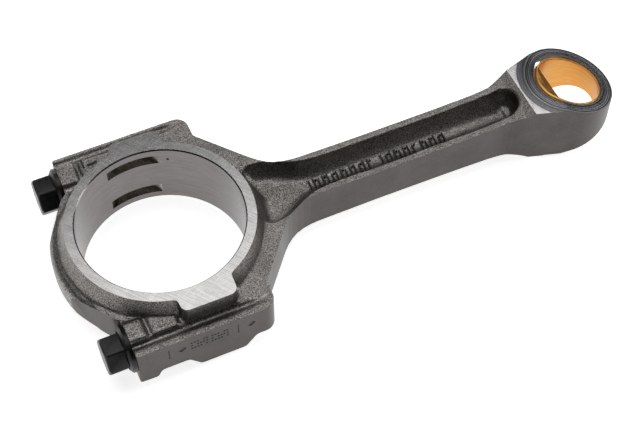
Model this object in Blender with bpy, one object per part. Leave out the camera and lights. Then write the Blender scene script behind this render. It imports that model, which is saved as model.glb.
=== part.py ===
"""Connecting rod with a fracture-split crank end, as an assembly of five pieces.

The rod lies flat. X runs from the crank end to the piston-pin end, Y across the
rod, Z along both bores. The origin is the middle of the underside of the whole
rod, so the rod rests on Z = 0. Drawing sizes are measured from the crank bore's
centre, halfway up its width, and FRAME moves them to the origin.
"""
import math

import bmesh
import bpy
from mathutils import Matrix, Vector

MM = 0.001

# Driving dimensions
ROD_LENGTH = 155.0 * MM          # crank bore centre to pin bore centre
CRANK_BORE_R = 28.4 * MM
CRANK_HALF = 13.45 * MM          # half the width over the crank thrust faces
EYE_HALF = 12.4 * MM             # half the width over the pin-end faces
EYE_R = 16.25 * MM
BUSH_BORE_R = 11.0 * MM
BUSH_WALL = 1.0 * MM
BOLT_Y = 34.2 * MM               # bolt axis to the rod's centre line
THREAD_R = 4.0 * MM
FIT_GAP = 0.3 * MM               # clearance between neighbouring pieces
PAST = 10.0 * MM                 # how far a cutter runs past the solid that it cuts

# Crank end
RING_R = 32.0 * MM               # machined thrust ring
RING_FOOT_R = 34.3 * MM          # its drafted wall ends here, inside the forging
RING_FOOT_Z = 5.5 * MM
SIDE_Y = 42.3 * MM               # flat side faces
BAND_HALF = 6.5 * MM             # half the height of the side faces
SEAT_X = -24.6 * MM              # spot-faced bolt seats on the cap
SHOULDER_X = 24.0 * MM           # rod shoulders behind the bolts
SHOULDER_FOOT_Y = 33.0 * MM      # the flanks start here
CAP_BACK_R = 37.8 * MM
BACK_CORNER = (-29.3 * MM, 22.0 * MM)
BACK_ARC_HALF = math.radians(13.0)
NOSE = ((-1.0 * MM, 2.0 * MM), (1.8 * MM, 5.6 * MM))  # (in from the back, half height) of its bull nose
BOSS_R = 8.7 * MM
CAP_BOSS_END_X = -17.3 * MM
ROD_BOSS_END_X = 20.0 * MM
PAD_X = (-6.0 * MM, 13.0 * MM)   # thrust pads beside the parting plane
PAD_Y = 36.4 * MM                # how far the pads reach on the top
PAD_UNDER_Y = 41.4 * MM          # and on the underside
UNDER_BOSS_Y = (28.0 * MM, 41.8 * MM)                 # square feet of the bolt bosses, on the underside
UNDER_BOSS_HALF = 9.0 * MM
PAD_CORNER_R = 2.5 * MM
BLANK_OVER = 5.0 * MM            # each blank runs past the parting plane until it is cut
FACE_STOCK = 1.0 * MM            # extra height that the thrust faces are cut down from
BORE_CHAMFER = 0.9 * MM
NOTCH_Z = 8.2 * MM               # bearing-shell notches
NOTCH_HALF = 2.0 * MM
NOTCH_CUTTER_R = 11.2 * MM
NOTCH_FLOOR_Y = 31.8 * MM

# Shank and eye
BEAM_Y = 8.4 * MM
BEAM_HALF = 7.8 * MM
BEAM_X = (34.0 * MM, 100.0 * MM)                      # the beam's height is even between these
RAMP = ((122.0 * MM, 8.4 * MM), (130.0 * MM, 9.8 * MM))  # (x, half height) on the way up to the eye
FLANK_FOOT_X = 44.0 * MM         # the flanks' lines reach the beam's sides here
WEB_HALF = 2.2 * MM
POCKET_Y = 4.6 * MM
POCKET_WALL = 1.0 * MM           # left between the ring's foot and the pocket
POCKET_SPREAD = math.radians(20.0)
POCKET_THROAT_X = 52.0 * MM      # the pocket narrows to the shank's width here
EYE_FACE_X = 135.4 * MM          # the full-width part of the eye starts here
TAPER_X = 146.1 * MM             # and its faces slope inwards from here
TAPER_SLOPE = 0.35
FLANK_ANGLE = math.radians(107.0)

# Bolt
HEX_FLATS = 12.0 * MM
HEAD_LENGTH = 9.0 * MM
FLANGE_R = 8.0 * MM
FLANGE_THICK = 2.2 * MM
BOLT_TIP_X = 20.5 * MM
SHANK_R = THREAD_R - 0.1 * MM
CLEAR_R = THREAD_R + 0.25 * MM
TAPPED_R = SHANK_R + FIT_GAP

EYE_TIP_X = ROD_LENGTH + EYE_R
FRAME = Vector((-(EYE_TIP_X - CAP_BACK_R) / 2.0, 0.0, CRANK_HALF))


def clear_scene():
    for found in list(bpy.data.objects):
        bpy.data.objects.remove(found, do_unlink=True)


def material(name, colour, roughness, metallic):
    made = bpy.data.materials.new(name)
    made.use_nodes = True
    shader = made.node_tree.nodes["Principled BSDF"]
    shader.inputs["Base Color"].default_value = (*colour, 1.0)
    shader.inputs["Roughness"].default_value = roughness
    shader.inputs["Metallic"].default_value = metallic
    return made


def arc(centre, radius, start, end, steps):
    """Points along an arc, from the start angle to the end angle."""
    points = []
    for step in range(steps + 1):
        angle = start + (end - start) * step / steps
        points.append((centre[0] + radius * math.cos(angle), centre[1] + radius * math.sin(angle)))
    return points


def rounded(corners, step_angle=math.radians(15.0)):
    """Replace each corner (x, y, radius) by a fillet arc of that radius."""
    outline = []
    count = len(corners)
    for index, (x, y, radius) in enumerate(corners):
        here = Vector((x, y))
        before = (Vector(corners[index - 1][:2]) - here).normalized()
        after = (Vector(corners[(index + 1) % count][:2]) - here).normalized()
        if radius <= 0.0:
            outline.append((x, y))
            continue
        half = before.angle(after) / 2.0
        middle = here + (before + after).normalized() * (radius / math.sin(half))
        first = here + before * (radius / math.tan(half)) - middle
        last = here + after * (radius / math.tan(half)) - middle
        start = math.atan2(first.y, first.x)
        turn = math.remainder(math.atan2(last.y, last.x) - start, 2.0 * math.pi)
        steps = max(2, math.ceil(abs(turn) / step_angle))
        outline += arc(middle, radius, start, start + turn, steps)
    return outline


def solid_from(name, build):
    mesh = bpy.data.meshes.new(name)
    work = bmesh.new()
    build(work)
    bmesh.ops.remove_doubles(work, verts=work.verts, dist=1e-7)
    bmesh.ops.recalc_face_normals(work, faces=work.faces)
    work.to_mesh(mesh)
    work.free()
    made = bpy.data.objects.new(name, mesh)
    bpy.context.collection.objects.link(made)
    return made


def prism(name, outline, low, high, place=Matrix.Identity(4)):
    """A straight prism: the outline in XY, from Z = low to Z = high."""
    def build(work):
        floor = work.faces.new([work.verts.new(place @ Vector((x, y, low))) for x, y in outline])
        grown = bmesh.ops.extrude_face_region(work, geom=[floor])
        shift = place.to_3x3() @ Vector((0.0, 0.0, high - low))
        raised = [item for item in grown["geom"] if isinstance(item, bmesh.types.BMVert)]
        bmesh.ops.translate(work, verts=raised, vec=shift)
    return solid_from(name, build)


def turned(name, profile, centre, place=Matrix.Identity(4), segments=64):
    """Spin a profile of (radius, height) points about Z, then place it."""
    move = Matrix.Translation(centre) @ place

    def build(work):
        rings = []
        for radius, height in profile:
            if radius <= 0.0:
                rings.append([work.verts.new(move @ Vector((0.0, 0.0, height)))])
                continue
            ring = []
            for step in range(segments):
                angle = 2.0 * math.pi * step / segments
                spot = Vector((radius * math.cos(angle), radius * math.sin(angle), height))
                ring.append(work.verts.new(move @ spot))
            rings.append(ring)
        for lower, upper in zip(rings, rings[1:]):
            for step in range(segments):
                after = (step + 1) % segments
                corners = [lower[step % len(lower)], lower[after % len(lower)]]
                corners += [upper[after % len(upper)], upper[step % len(upper)]]
                work.faces.new(list(dict.fromkeys(corners)))
    return solid_from(name, build)


def combine(target, tool, operation):
    """Apply one exact Boolean and throw its tool away."""
    step = target.modifiers.new(operation.lower(), "BOOLEAN")
    step.operation = operation
    step.solver = "EXACT"
    step.object = tool
    bpy.context.view_layer.update()
    result = bpy.data.meshes.new_from_object(target.evaluated_get(bpy.context.evaluated_depsgraph_get()))
    target.modifiers.clear()
    target.data = result
    bpy.data.objects.remove(tool, do_unlink=True)
    return target


ALONG_X = Matrix.Rotation(math.radians(90.0), 4, "Y")
ALONG_Y = Matrix.Rotation(math.radians(90.0), 4, "X")


def cylinder_z(name, radius, half, centre=(0.0, 0.0, 0.0), segments=96):
    return turned(name, [(0.0, -half), (radius, -half), (radius, half), (0.0, half)],
                  centre, segments=segments)


def cylinder_x(name, radius, start, end, y, segments=32):
    return turned(name, [(0.0, start), (radius, start), (radius, end), (0.0, end)],
                  (0.0, y, 0.0), ALONG_X, segments)


def chamfered_bore(name, radius, half, chamfer):
    """A cutter for a bore on the origin's axis that also breaks both of its edges."""
    wide = radius + chamfer + PAST
    profile = [(0.0, -half - PAST), (wide, -half - PAST), (radius, -half + chamfer),
               (radius, half - chamfer), (wide, half + PAST), (0.0, half + PAST)]
    return turned(name, profile, (0.0, 0.0, 0.0), segments=96)


def side_cutter(name, stations, reach):
    """The solid between Z = -height and Z = height, where height is given along X."""
    outline = stations + [(x, -z) for x, z in reversed(stations)]
    return prism(name, outline, -reach, reach, ALONG_Y)


def crank_end_blank(outline, profile):
    """The forging around half of the crank bore, from its plan and its side view."""
    tall = CRANK_HALF + FACE_STOCK
    blank = prism("blank", outline, -tall, tall)
    blank = combine(blank, side_cutter("side_view", profile, SIDE_Y + PAST), "INTERSECT")
    ring = turned("ring", [(0.0, -tall), (RING_R, -tall), (RING_R, -CRANK_HALF), (RING_FOOT_R, -RING_FOOT_Z),
                           (RING_FOOT_R, RING_FOOT_Z), (RING_R, CRANK_HALF), (RING_R, tall), (0.0, tall)],
                  (0.0, 0.0, 0.0), segments=96)
    blank = combine(blank, ring, "UNION")
    pad_half = CRANK_HALF + FACE_STOCK * 2.0
    for reach, low, high in ((PAD_Y, -1.0 * MM, pad_half), (PAD_UNDER_Y, -pad_half, 1.0 * MM)):
        pad = rounded([(PAD_X[0], reach, PAD_CORNER_R), (PAD_X[0], -reach, PAD_CORNER_R),
                       (PAD_X[1], -reach, PAD_CORNER_R), (PAD_X[1], reach, PAD_CORNER_R)])
        blank = combine(blank, prism("pads", pad, low, high), "UNION")
    return blank


def add_bolt_bosses(blank, start, end):
    for side in (-1.0, 1.0):
        boss = cylinder_x("boss", BOSS_R, start, end, side * BOLT_Y)
        trim = prism("trim", [(start - PAST, -SIDE_Y), (end + PAST, -SIDE_Y), (end + PAST, SIDE_Y),
                              (start - PAST, SIDE_Y)], -BOSS_R - PAST, BOSS_R + PAST)
        blank = combine(blank, combine(boss, trim, "INTERSECT"), "UNION")
    return blank


def machine_crank_end(blank, keep_low, keep_high, hole_r):
    """Part the blank, face and bore it, drill the bolt holes and cut the shell notches."""
    wide = SIDE_Y + PAST
    keep = prism("keep", [(keep_low, -wide), (keep_high, -wide), (keep_high, wide), (keep_low, wide)],
                 -CRANK_HALF, CRANK_HALF)
    blank = combine(blank, keep, "INTERSECT")
    blank = combine(blank, chamfered_bore("bore", CRANK_BORE_R, CRANK_HALF, BORE_CHAMFER), "DIFFERENCE")
    for side in (-1.0, 1.0):
        hole = cylinder_x("hole", hole_r, -CAP_BACK_R - PAST, SHOULDER_X + PAST, side * BOLT_Y)
        blank = combine(blank, hole, "DIFFERENCE")
    for side in (-1.0, 1.0):
        centre = (0.0, NOTCH_FLOOR_Y - NOTCH_CUTTER_R, side * NOTCH_Z)
        notch = cylinder_z("notch", NOTCH_CUTTER_R, NOTCH_HALF, centre, 48)
        blank = combine(blank, notch, "DIFFERENCE")
    return blank


def bearing_cap():
    """The half of the crank end that the bolts hold on."""
    corner = [(SEAT_X, SIDE_Y, 0.8 * MM), (SEAT_X, BOLT_Y - BOSS_R, 1.2 * MM), (*BACK_CORNER, 2.0 * MM)]
    back = arc((0.0, 0.0), CAP_BACK_R, math.pi - BACK_ARC_HALF, math.pi + BACK_ARC_HALF, 6)
    corners = [(BLANK_OVER, SIDE_Y, 0.0)] + corner + [(x, y, 0.0) for x, y in back]
    corners += [(x, -y, r) for x, y, r in reversed(corner)] + [(BLANK_OVER, -SIDE_Y, 0.0)]
    outline = rounded(corners)
    nose = [(inset - CAP_BACK_R, half) for inset, half in NOSE]
    profile = nose + [(-RING_FOOT_R, BAND_HALF), (BLANK_OVER + PAST, BAND_HALF)]
    blank = crank_end_blank(outline, profile)
    blank = add_bolt_bosses(blank, SEAT_X, CAP_BOSS_END_X)
    for side in (-1.0, 1.0):
        low_y, high_y = sorted((side * UNDER_BOSS_Y[0], side * UNDER_BOSS_Y[1]))
        start, end = SEAT_X + FIT_GAP, CAP_BOSS_END_X
        foot = prism("foot", [(start, low_y), (end, low_y), (end, high_y), (start, high_y)],
                     -UNDER_BOSS_HALF, 0.0)
        blank = combine(blank, foot, "UNION")
    return machine_crank_end(blank, -CAP_BACK_R - PAST, -FIT_GAP / 2.0, CLEAR_R)


def rod_outline():
    """Half of the plan view: side face, shoulder, flank, shank and eye."""
    tangent = (ROD_LENGTH + EYE_R * math.cos(FLANK_ANGLE), EYE_R * math.sin(FLANK_ANGLE))
    slope = math.tan(FLANK_ANGLE - math.pi / 2.0)
    knee_x = tangent[0] - (tangent[1] - BEAM_Y) / slope
    half = [(-BLANK_OVER, SIDE_Y, 0.0), (SHOULDER_X, SIDE_Y, 4.2 * MM),
            (SHOULDER_X, SHOULDER_FOOT_Y, 1.5 * MM), (FLANK_FOOT_X, BEAM_Y, 20.0 * MM),
            (knee_x, BEAM_Y, 14.0 * MM)]
    eye = arc((ROD_LENGTH, 0.0), EYE_R, FLANK_ANGLE, -FLANK_ANGLE, 30)
    corners = half + [(x, y, 0.0) for x, y in eye] + [(x, -y, r) for x, y, r in reversed(half)]
    return rounded(corners)


def rod_side_view():
    """Half heights of the forging along X, from the side faces to the eye's tip."""
    end_x = EYE_TIP_X + PAST
    end_half = EYE_HALF - (end_x - TAPER_X) * TAPER_SLOPE
    return [(-BLANK_OVER - PAST, BAND_HALF), (ROD_BOSS_END_X, BAND_HALF), (BEAM_X[0], BEAM_HALF),
            (BEAM_X[1], BEAM_HALF), *RAMP, (EYE_FACE_X, EYE_HALF), (TAPER_X, EYE_HALF), (end_x, end_half)]


def pocket_outline():
    """Lightening pocket: a triangle beside the crank bore that runs into the shank."""
    inner = RING_FOOT_R + POCKET_WALL
    half = [(inner * math.cos(POCKET_SPREAD), inner * math.sin(POCKET_SPREAD), 1.5 * MM),
            (POCKET_THROAT_X, POCKET_Y, 16.0 * MM), (EYE_FACE_X, POCKET_Y, POCKET_Y * 0.95)]
    return rounded([(inner, 0.0, 0.0)] + half + [(x, -y, r) for x, y, r in reversed(half)])


def rod_forging():
    """The rod: its half of the crank end, the shank and the eye, in one forging."""
    blank = crank_end_blank(rod_outline(), rod_side_view())
    blank = add_bolt_bosses(blank, 0.0, ROD_BOSS_END_X)
    pocket = pocket_outline()
    for side in (-1.0, 1.0):
        low, high = sorted((side * WEB_HALF, side * (EYE_HALF + PAST)))
        blank = combine(blank, prism("pocket", pocket, low, high), "DIFFERENCE")
    blank = machine_crank_end(blank, FIT_GAP / 2.0, EYE_TIP_X + PAST, TAPPED_R)
    pin_bore = cylinder_z("pin_bore", BUSH_BORE_R + BUSH_WALL + FIT_GAP, EYE_HALF + PAST,
                          (ROD_LENGTH, 0.0, 0.0), 64)
    return combine(blank, pin_bore, "DIFFERENCE")


def small_end_bush():
    """A plain sleeve whose ends follow the eye's sloping faces."""
    outer = BUSH_BORE_R + BUSH_WALL
    sleeve = cylinder_z("sleeve", outer, EYE_HALF + PAST, (ROD_LENGTH, 0.0, 0.0), 64)
    sleeve = combine(sleeve, side_cutter("eye_faces", rod_side_view(), outer + PAST), "INTERSECT")
    bore = cylinder_z("bush_bore", BUSH_BORE_R, EYE_HALF + PAST, (ROD_LENGTH, 0.0, 0.0), 64)
    return combine(sleeve, bore, "DIFFERENCE")


def cap_bolt():
    """A flange-head bolt along X, drawn about its own axis with its seat at X = 0."""
    tip = BOLT_TIP_X - SEAT_X
    tip_chamfer = 1.0 * MM
    rim = 0.6 * MM
    core_r = HEX_FLATS * 0.49
    stem = turned("stem", [(0.0, -HEAD_LENGTH), (core_r, -HEAD_LENGTH), (core_r, -FLANGE_THICK - rim),
                           (FLANGE_R - rim, -FLANGE_THICK), (FLANGE_R, -FLANGE_THICK + rim),
                           (FLANGE_R, -FIT_GAP), (SHANK_R, -FIT_GAP), (SHANK_R, tip - tip_chamfer),
                           (SHANK_R - tip_chamfer, tip), (0.0, tip)],
                  (0.0, 0.0, 0.0), ALONG_X, 32)
    corner_r = HEX_FLATS / math.sqrt(3.0)
    corners = [(corner_r * math.cos(math.radians(60.0 * k)), corner_r * math.sin(math.radians(60.0 * k)))
               for k in range(6)]
    hexagon = prism("hexagon", corners, -HEAD_LENGTH, -FLANGE_THICK, ALONG_X)
    face_r = HEX_FLATS * 0.47
    dome = turned("dome", [(0.0, -HEAD_LENGTH), (face_r, -HEAD_LENGTH), (corner_r, -HEAD_LENGTH + 0.9 * MM),
                           (corner_r, 0.0), (0.0, 0.0)],
                  (0.0, 0.0, 0.0), ALONG_X, 48)
    return combine(stem, combine(hexagon, dome, "INTERSECT"), "UNION")


def finish(made, name, finish_material, place):
    """Name a piece, give it its material, shade it and put it in the frame."""
    made.name = name
    made.data.name = name
    made.data.materials.clear()
    made.data.materials.append(finish_material)
    made.data.shade_smooth()
    made.data.set_sharp_from_angle(angle=math.radians(30.0))
    made.location = place


def build():
    clear_scene()
    forged = material("forged_steel", (0.26, 0.25, 0.24), 0.45, 0.9)
    black = material("black_oxide", (0.03, 0.03, 0.03), 0.4, 0.7)
    bronze = material("bronze", (0.75, 0.42, 0.12), 0.3, 1.0)
    finish(rod_forging(), "rod_forging", forged, FRAME)
    finish(bearing_cap(), "bearing_cap", forged, FRAME)
    finish(small_end_bush(), "small_end_bush", bronze, FRAME)
    for name, side in (("cap_bolt_right", -1.0), ("cap_bolt_left", 1.0)):
        seat = FRAME + Vector((SEAT_X, side * BOLT_Y, 0.0))
        finish(cap_bolt(), name, black, seat)


build()
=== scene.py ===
# %% [markdown]
# # A connecting rod with a cracked bearing cap
# A connecting rod carries the push of a piston down to the crankshaft. This one is forged in one
# piece, machined, and then its big end is cracked in two, so that the cap goes back in exactly one
# way. Two bolts hold the cap. The small end has a bronze bush for the piston pin.
# The lesson follows the factory: rough forgings first, then the cuts, then bush, bolts and finishes.

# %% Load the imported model
import math

import bpy
from mathutils import Matrix, Vector


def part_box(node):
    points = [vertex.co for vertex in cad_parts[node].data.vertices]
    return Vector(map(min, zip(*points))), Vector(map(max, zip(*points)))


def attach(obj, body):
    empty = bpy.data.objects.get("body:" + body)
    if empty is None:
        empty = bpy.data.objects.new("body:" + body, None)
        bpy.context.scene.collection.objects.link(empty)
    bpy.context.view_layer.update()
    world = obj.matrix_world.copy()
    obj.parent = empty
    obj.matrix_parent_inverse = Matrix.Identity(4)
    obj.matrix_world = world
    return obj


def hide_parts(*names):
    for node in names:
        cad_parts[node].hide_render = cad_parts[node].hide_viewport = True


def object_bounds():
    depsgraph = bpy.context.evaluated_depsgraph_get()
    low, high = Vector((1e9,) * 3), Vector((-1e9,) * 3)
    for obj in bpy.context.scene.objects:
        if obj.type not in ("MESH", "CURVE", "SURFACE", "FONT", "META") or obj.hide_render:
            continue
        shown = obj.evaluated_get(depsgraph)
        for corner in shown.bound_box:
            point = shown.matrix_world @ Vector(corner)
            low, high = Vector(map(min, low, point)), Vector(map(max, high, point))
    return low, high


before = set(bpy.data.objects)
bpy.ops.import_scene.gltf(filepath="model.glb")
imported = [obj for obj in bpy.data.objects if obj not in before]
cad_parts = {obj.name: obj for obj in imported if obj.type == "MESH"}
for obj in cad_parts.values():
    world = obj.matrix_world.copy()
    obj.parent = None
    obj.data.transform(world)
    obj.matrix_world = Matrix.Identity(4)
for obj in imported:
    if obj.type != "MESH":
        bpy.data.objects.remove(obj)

CAD_LOW, CAD_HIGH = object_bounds()
print("packed model from", CAD_LOW[:], "to", CAD_HIGH[:])

# %% [markdown]
# Everything is drawn in millimetres round the crank bore's centre, halfway up the bore, because a
# rod's drawing gives its sizes from there. `settle` turns a finished piece into metres and moves
# it to its place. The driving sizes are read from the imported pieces, so the looks can't drift away
# from the model underneath.

# %% Driving sizes from the frame
METRE = 1000.0                   # millimetres in a metre
cap_low, cap_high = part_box("bearing_cap")
bush_low, bush_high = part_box("small_end_bush")
bolt_low, bolt_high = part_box("cap_bolt_left")
rod_low, rod_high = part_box("rod_forging")

PARTING_X = (cap_high.x + rod_low.x) / 2.0
CENTRE = Vector((PARTING_X, 0.0, (CAD_LOW.z + CAD_HIGH.z) / 2.0))
CRANK_HALF = (CAD_HIGH.z - CAD_LOW.z) * METRE / 2.0
SIDE_Y = (CAD_HIGH.y - CAD_LOW.y) * METRE / 2.0
CAP_BACK_R = (PARTING_X - cap_low.x) * METRE
BUSH_R = (bush_high.x - bush_low.x) * METRE / 2.0
PIN_X = ((bush_low.x + bush_high.x) / 2.0 - PARTING_X) * METRE
EYE_HALF = (bush_high.z - bush_low.z) * METRE / 2.0
EYE_R = (rod_high.x - PARTING_X) * METRE - PIN_X
BOLT_Y = (bolt_low.y + bolt_high.y) * METRE / 2.0
FLANGE_R = (bolt_high.y - bolt_low.y) * METRE / 2.0
HEAD_END_X = (bolt_low.x - PARTING_X) * METRE
TIP_X = (bolt_high.x - PARTING_X) * METRE
print(f"crank bore to pin {PIN_X:.1f} mm, {2 * CRANK_HALF:.1f} mm wide, bolts {2 * BOLT_Y:.1f} mm apart")

# %% Drawing sizes of the crank end, in millimetres
CRANK_BORE_R = 28.4
SEAT_X = -24.6                   # the bolts' seats on the cap
SHOULDER_X = 24.0                # the rod's shoulders behind the bolts
SHOULDER_FOOT_Y = 33.0
TRIM_STOCK = 2.2                 # the forging's flash, outside the lines that it is trimmed to
FACE_STOCK = 1.0                 # height that is milled off the thrust faces
OVER = 6.0                       # how far a cutting tool runs past the metal
FIELD_HALF = 6.8                 # half height of the rough skin round the ring
print(f"bolt seats at {SEAT_X} mm, shoulders at {SHOULDER_X} mm")

# %% [markdown]
# Most of the work is the same few moves: choose one piece, pick some of its faces, push them
# somewhere. Picking by hand is a click. In code it is a test on each face's middle and normal.

# %% Choosing pieces and faces
def only(piece):
    """Make this the one chosen and active piece."""
    if bpy.context.object and bpy.context.object.mode != "OBJECT":
        bpy.ops.object.mode_set(mode="OBJECT")
    bpy.ops.object.select_all(action="DESELECT")
    piece.select_set(True)
    bpy.context.view_layer.objects.active = piece
    return piece


def pick(piece, wanted):
    """Go into edit mode with the faces chosen whose middle and normal pass the test."""
    only(piece)
    bpy.ops.object.mode_set(mode="EDIT")
    bpy.ops.mesh.select_mode(type="FACE")
    bpy.ops.mesh.select_all(action="DESELECT")
    bpy.ops.object.mode_set(mode="OBJECT")
    for face in piece.data.polygons:
        face.select = wanted(face.center, face.normal)
    bpy.ops.object.mode_set(mode="EDIT")


def done(piece):
    """Leave edit mode with every face pointing outwards."""
    bpy.ops.mesh.select_all(action="SELECT")
    bpy.ops.mesh.normals_make_consistent(inside=False)
    bpy.ops.object.mode_set(mode="OBJECT")
    return piece


def dress(piece, finish):
    """Give the whole piece one finish."""
    piece.data.materials.clear()
    piece.data.materials.append(finish)
    return piece


def freeze():
    """Write the chosen piece's place, turn and scale into its mesh."""
    bpy.ops.object.transform_apply(location=True, rotation=True, scale=True)


def apply(step):
    """Apply a modifier of the active piece."""
    bpy.ops.object.modifier_apply(modifier=step.name)


def pull(step):
    """Extrude what is chosen and move the new part by this much."""
    bpy.ops.mesh.extrude_region_move(TRANSFORM_OT_translate={"value": step})


print("helpers for choosing: only, pick, done, dress, freeze, apply, pull")

# %% [markdown]
# A flat outline is drawn as by hand with one vertex: it is extruded from corner to corner, the loop
# is closed and filled, and the face is pulled up into a plate. Corners that are round on the
# drawing become short arcs first.

# %% Arcs and rounded outlines
FILLET_STEP = 9.0                # degrees of a fillet to each short edge


def arc(x, y, radius, start, end, steps):
    """Points on an arc round (x, y), between two angles in degrees."""
    turns = [math.radians(start + (end - start) * step / steps) for step in range(steps + 1)]
    return [(x + radius * math.cos(turn), y + radius * math.sin(turn)) for turn in turns]


def rounded(corners):
    """An outline from corners (x, y, radius), each replaced by its fillet arc."""
    outline = []
    for index, (x, y, radius) in enumerate(corners):
        here = Vector((x, y))
        before = (Vector(corners[index - 1][:2]) - here).normalized()
        after = (Vector(corners[(index + 1) % len(corners)][:2]) - here).normalized()
        if radius == 0.0:
            outline.append((x, y))
            continue
        half = before.angle(after) / 2.0
        middle = here + (before + after).normalized() * (radius / math.sin(half))
        first = here + before * (radius / math.tan(half)) - middle
        last = here + after * (radius / math.tan(half)) - middle
        start = math.degrees(math.atan2(first.y, first.x))
        turn = math.remainder(math.degrees(math.atan2(last.y, last.x)) - start, 360.0)
        steps = max(2, math.ceil(abs(turn) / FILLET_STEP))
        outline += arc(middle.x, middle.y, radius, start, start + turn, steps)
    return outline


print("helpers for outlines: arc, rounded")

# %% Plates, blocks and cylinders
def plate(name, outline, low, high):
    """Trace an outline with one vertex, fill it and pull it up from z = low to z = high."""
    bpy.ops.mesh.primitive_plane_add(size=1.0)
    piece = bpy.context.object
    piece.name = name
    bpy.ops.object.mode_set(mode="EDIT")
    bpy.ops.mesh.select_mode(type="VERT")
    bpy.ops.mesh.merge(type="CENTER")
    bpy.ops.transform.translate(value=(*outline[0], low))
    for here, after in zip(outline, outline[1:]):
        step = (after[0] - here[0], after[1] - here[1], 0.0)
        pull(step)
    bpy.ops.mesh.select_all(action="SELECT")
    bpy.ops.mesh.edge_face_add()
    bpy.ops.mesh.select_mode(type="FACE")
    bpy.ops.mesh.select_all(action="SELECT")
    pull((0.0, 0.0, high - low))
    return done(piece)


def upright(piece):
    """Turn a plate that was drawn as a side view so that it stands along the rod."""
    only(piece)
    piece.rotation_euler = (math.radians(90.0), 0.0, 0.0)
    freeze()
    return piece


def block(name, low, high):
    """A box between two corners."""
    low, high = Vector(low), Vector(high)
    bpy.ops.mesh.primitive_cube_add(size=1.0, location=(low + high) / 2.0, scale=high - low)
    piece = bpy.context.object
    piece.name = name
    freeze()
    return piece


def rod_stock(name, radius, low, high, x=0.0, y=0.0, vertices=128):
    """A cylinder along Z."""
    bpy.ops.mesh.primitive_cylinder_add(vertices=vertices, radius=radius, depth=high - low,
                                        location=(x, y, (low + high) / 2.0))
    piece = bpy.context.object
    piece.name = name
    freeze()
    return piece


def lay_along_x(piece, y):
    """Lay a cylinder that was made along Z on its side, with its axis along X at this y."""
    only(piece)
    piece.rotation_euler = (0.0, math.radians(90.0), 0.0)
    piece.location = (0.0, y, 0.0)
    freeze()
    return piece


print("helpers for stock: plate, upright, block, rod_stock, lay_along_x")

# %% Cutting and joining
def combine(piece, tool, operation):
    """Cut, fuse or keep the overlap with a tool, whose finish stays on the new faces."""
    only(piece)
    step = piece.modifiers.new(operation.lower(), "BOOLEAN")
    step.operation = operation
    step.solver = "EXACT"
    step.material_mode = "TRANSFER"
    step.object = tool
    apply(step)
    bpy.data.objects.remove(tool, do_unlink=True)
    return piece


def gather(pieces, name):
    """Join separate pieces into one object."""
    only(pieces[0])
    for piece in pieces:
        piece.select_set(True)
    bpy.ops.object.join()
    pieces[0].name = name
    return pieces[0]


def flipped(piece):
    """A copy of the piece on the other side of the rod's mid-plane, with its own mesh."""
    only(piece)
    bpy.ops.object.duplicate(linked=False)
    copy = bpy.context.object
    copy.scale.z = -1.0
    freeze()
    bpy.ops.object.mode_set(mode="EDIT")
    return done(copy)


def both_faces(piece):
    """The piece with its mirror image on the underside, as one object."""
    return gather([piece, flipped(piece)], piece.name)


print("helpers for cuts: combine, gather, flipped, both_faces")

# %% [markdown]
# ## Finishes
# The same few effects show on several surfaces: a fine speckle where the skin was blasted with shot,
# straight scratches from grinding, rings from turning, and slow patches of darker and lighter steel.
# Each effect is a node group with its own inputs. The patterns read Object coordinates, in metres.

# %% Nodes in one line each
def node(tree, kind, operation=None, **inputs):
    """Add a node. An input is a plain value or another node's output."""
    made = tree.nodes.new(kind)
    if operation:
        made.operation = operation
    for name, value in inputs.items():
        socket = made.inputs[int(name[1:])] if name[0] == "_" else made.inputs[name.replace("_", " ")]
        if isinstance(value, bpy.types.NodeSocket):
            tree.links.new(value, socket)
        else:
            socket.default_value = value
    return made


def new_effect(name, inputs, outputs):
    """An empty node group with float or vector inputs, each with its starting value."""
    group = bpy.data.node_groups.new(name, "ShaderNodeTree")
    for label, value in inputs.items():
        kind = "NodeSocketVector" if isinstance(value, tuple) else "NodeSocketFloat"
        group.interface.new_socket(label, in_out="INPUT", socket_type=kind).default_value = value
    for label in outputs:
        group.interface.new_socket(label, in_out="OUTPUT", socket_type="NodeSocketFloat")
    return group, group.nodes.new("NodeGroupInput").outputs, group.nodes.new("NodeGroupOutput").inputs


def effect(tree, group, **inputs):
    """Use an effect in a finish and return its outputs."""
    made = tree.nodes.new("ShaderNodeGroup")
    made.node_tree = group
    for label, value in inputs.items():
        made.inputs[label.replace("_", " ")].default_value = value
    return made.outputs


print("helpers for nodes: node, new_effect, effect")

# %% Speckle of a blasted skin
speckle, given, gives = new_effect("blasted_speckle", {"Grains per metre": 2400.0}, ["Mask", "Height"])
place = node(speckle, "ShaderNodeTexCoord").outputs["Object"]
fine = node(speckle, "ShaderNodeTexNoise", Vector=place, Scale=given["Grains per metre"], Detail=3.0,
            Roughness=0.65)
third = node(speckle, "ShaderNodeMath", "MULTIPLY", _0=given["Grains per metre"], _1=0.36)
broad = node(speckle, "ShaderNodeTexNoise", Vector=place, Scale=third.outputs[0], Detail=2.0)
crisp = node(speckle, "ShaderNodeMapRange", Value=fine.outputs["Fac"], From_Min=0.38, From_Max=0.64)
both = node(speckle, "ShaderNodeMath", "ADD", _0=fine.outputs["Fac"], _1=broad.outputs["Fac"])
speckle.links.new(crisp.outputs["Result"], gives["Mask"])
speckle.links.new(both.outputs[0], gives["Height"])
print("effect", speckle.name)

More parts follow.
